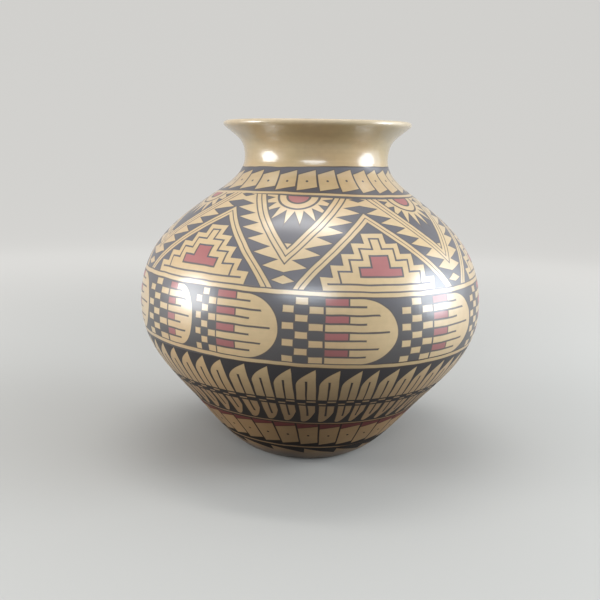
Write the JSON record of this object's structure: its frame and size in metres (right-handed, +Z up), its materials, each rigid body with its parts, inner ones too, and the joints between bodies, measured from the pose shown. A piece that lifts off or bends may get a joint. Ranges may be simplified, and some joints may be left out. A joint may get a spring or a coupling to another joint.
{
  "type": "pottery olla",
  "caption": "Round-bellied coil-built clay olla with a pinched neck, a flared round lip and a rounded base with a small flat, painted in rings of black and red slip on burnished buff.",
  "frame": {"origin": "middle of the flat that the pot rests on", "axes": "+Z up along the pot's axis of turning; the pot is round, so +X and +Y are any two level directions, with -Y towards the picture's camera"},
  "size_m": [0.25, 0.25, 0.2415],
  "materials": {
    "buff_clay": "burnished buff clay, plain",
    "painted_clay": "burnished buff clay with rings of black and brick red slip"
  },
  "bodies": {
    "root": {"base_disc": "buff_clay", "foot_coil": "painted_clay", "lower_wall_coil_1": "painted_clay", "lower_wall_coil_2": "painted_clay", "belly_coil_1": "painted_clay", "belly_coil_2": "painted_clay", "shoulder_coil_1": "painted_clay", "shoulder_coil_2": "painted_clay", "shoulder_coil_3": "painted_clay", "collar_coil": "painted_clay", "neck_coil": "buff_clay", "rim_coil": "buff_clay"}
  },
  "joints": []
}
